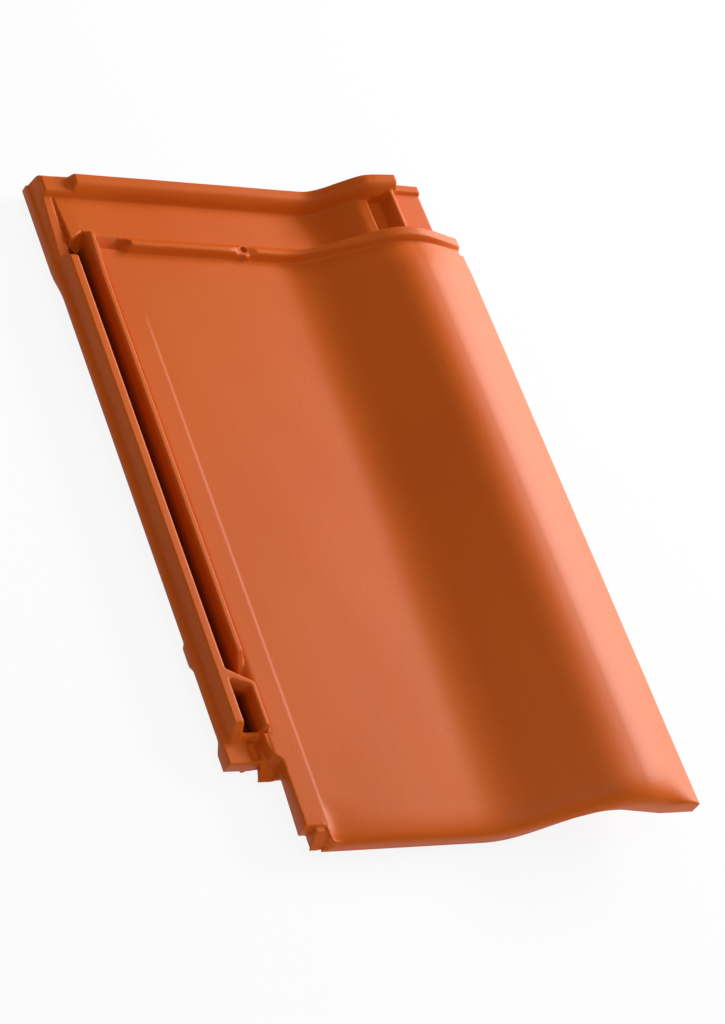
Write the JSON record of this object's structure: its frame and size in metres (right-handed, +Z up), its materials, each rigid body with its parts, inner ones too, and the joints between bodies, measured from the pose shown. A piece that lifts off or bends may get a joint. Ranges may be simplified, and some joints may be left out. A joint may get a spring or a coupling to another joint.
{
  "type": "clay roof tile",
  "caption": "Interlocking pressed clay roof tile: flat pan with a rounded roll along one side, a side lock along the other and ribs across the head.",
  "frame": {"origin": "middle of the tile's bounding box on the level it rests on, below the middle of the pan and roll", "axes": "+Y up the roof, from the front edge to the head; +X across the tile, from the side lock to the roll; +Z up, out of the weathered face"},
  "size_m": [0.297, 0.481, 0.055],
  "materials": {
    "fired_clay": "smooth matte natural red fired clay"
  },
  "bodies": {
    "root": {"roof_tile": "fired_clay"}
  },
  "joints": []
}
